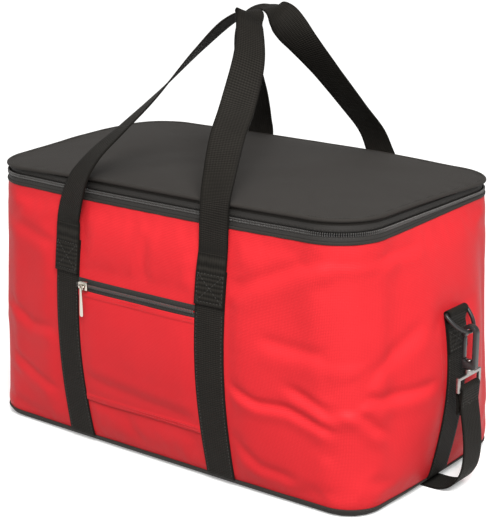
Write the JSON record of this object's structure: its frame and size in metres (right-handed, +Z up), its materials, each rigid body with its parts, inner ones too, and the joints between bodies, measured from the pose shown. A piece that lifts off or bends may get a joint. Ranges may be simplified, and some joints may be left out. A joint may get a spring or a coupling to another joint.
{
  "type": "insulated food bag",
  "caption": "Soft boxy cooler bag with swelling cloth walls, a zipped hinged lid, twin webbing carry handles, a zipped front pocket and a clip-on shoulder strap",
  "frame": {"origin": "on the floor under the middle of the base", "axes": "+X along the length to the right, the pocket faces -Y, +Z up"},
  "size_m": [0.6378, 0.3549, 0.5031],
  "materials": {
    "red_cloth": "plain-woven red polyester with a coated back",
    "black_cloth": "plain-woven black polyester",
    "webbing": "ribbed black polypropylene webbing",
    "zip_tape": "woven zip tape",
    "zip_coil": "nylon coil",
    "foam": "closed-cell foam board",
    "foil_lining": "metallised film, softly creased",
    "bright_metal": "plated die-cast metal",
    "dark_metal": "grey-plated steel",
    "black_plastic": "moulded acetal"
  },
  "bodies": {
    "root": {"front_panel": "red_cloth", "back_panel": "red_cloth", "base_panel": "black_cloth", "base_binding": "black_cloth", "mouth_binding": "black_cloth", "front_foam": "foam", "back_foam": "foam", "left_foam": "foam", "right_foam": "foam", "base_foam": "foam", "lining": "foil_lining", "main_zip_lower_tape": "zip_tape", "main_zip_lower_coil": "zip_coil", "hinge_lower_cloth": "black_cloth", "pocket_panel": "red_cloth", "pocket_zip_tape": "zip_tape", "pocket_zip_coil": "zip_coil", "front_left_webbing": "webbing", "front_right_webbing": "webbing", "back_left_webbing": "webbing", "back_right_webbing": "webbing", "left_side_webbing": "webbing", "right_side_webbing": "webbing", "left_ring_tab": "webbing", "right_ring_tab": "webbing", "shoulder_strap": "webbing"},
    "lid": {"lid_panel": "black_cloth", "lid_gusset": "black_cloth", "lid_binding": "black_cloth", "lid_foam": "foam", "lid_lining": "foil_lining", "main_zip_upper_tape": "zip_tape", "main_zip_upper_coil": "zip_coil", "hinge_upper_cloth": "black_cloth"},
    "front_handle_loop": {"front_handle": "webbing"},
    "back_handle_loop": {"back_handle": "webbing"},
    "main_slider": {"main_zip_slider": "bright_metal"},
    "main_pull": {"main_zip_pull": "bright_metal"},
    "pocket_slider": {"pocket_zip_slider": "bright_metal"},
    "pocket_pull": {"pocket_zip_pull": "bright_metal"},
    "right_clip": {"right_d_ring": "dark_metal", "right_strap_ring": "dark_metal"},
    "right_hook": {"right_snap_hook": "black_plastic"},
    "right_gate": {"right_hook_gate": "black_plastic"},
    "left_clip": {"left_d_ring": "dark_metal", "left_strap_ring": "dark_metal"},
    "left_hook": {"left_snap_hook": "black_plastic"},
    "left_gate": {"left_hook_gate": "black_plastic"}
  },
  "joints": [
    {"name": "lid_hinge", "type": "hinge", "parent": "root", "child": "lid", "pos_m": [0, 0.1575, 0.307], "axis": [-1, 0, 0], "range_deg": [0, 100]},
    {"name": "front_handle_fold", "type": "hinge", "parent": "root", "child": "front_handle_loop", "pos_m": [0, -0.16528, 0.255], "axis": [1, 0, 0], "range_deg": [0, 150]},
    {"name": "back_handle_fold", "type": "hinge", "parent": "root", "child": "back_handle_loop", "pos_m": [0, 0.16489, 0.255], "axis": [-1, 0, 0], "range_deg": [0, 120]},
    {"name": "main_zip_slide", "type": "slide", "parent": "root", "child": "main_slider", "axis": [0, -1, 0], "range_m": [0, 0.15]},
    {"name": "main_pull_swing", "type": "hinge", "parent": "main_slider", "child": "main_pull", "pos_m": [-0.2634, 0.076, 0.30745], "axis": [0, 1, 0], "range_deg": [0, 110]},
    {"name": "pocket_zip_slide", "type": "slide", "parent": "root", "child": "pocket_slider", "axis": [1, 0, 0], "range_m": [0, 0.148]},
    {"name": "pocket_pull_swing", "type": "hinge", "parent": "pocket_slider", "child": "pocket_pull", "pos_m": [-0.088, -0.17909, 0.2028], "axis": [-1, 0, 0], "range_deg": [0, 110]},
    {"name": "right_clip_swing", "type": "hinge", "parent": "root", "child": "right_clip", "pos_m": [0.29039, 0, 0.203], "axis": [0, -1, 0], "range_deg": [0, 60]},
    {"name": "right_hook_swivel", "type": "hinge", "parent": "right_clip", "child": "right_hook", "pos_m": [0.30948, 0, 0.146], "axis": [0, 0, 1], "range_deg": [-15, 15]},
    {"name": "right_gate_press", "type": "hinge", "parent": "right_hook", "child": "right_gate", "pos_m": [0.30273, 0, 0.15421], "axis": [0, 1, 0], "range_deg": [0, 20], "stiffness_Nm_per_rad": 0.05},
    {"name": "left_clip_swing", "type": "hinge", "parent": "root", "child": "left_clip", "pos_m": [-0.29039, 0, 0.203], "axis": [0, 1, 0], "range_deg": [0, 60]},
    {"name": "left_hook_swivel", "type": "hinge", "parent": "left_clip", "child": "left_hook", "pos_m": [-0.30948, 0, 0.146], "axis": [0, 0, 1], "range_deg": [-15, 15]},
    {"name": "left_gate_press", "type": "hinge", "parent": "left_hook", "child": "left_gate", "pos_m": [-0.30273, 0, 0.15421], "axis": [0, -1, 0], "range_deg": [0, 20], "stiffness_Nm_per_rad": 0.05}
  ],
  "couplings": [
    {"joint": "front_handle_fold", "follows": "lid_hinge", "ratio": 1.5},
    {"joint": "back_handle_fold", "follows": "lid_hinge", "ratio": 1.2}
  ]
}
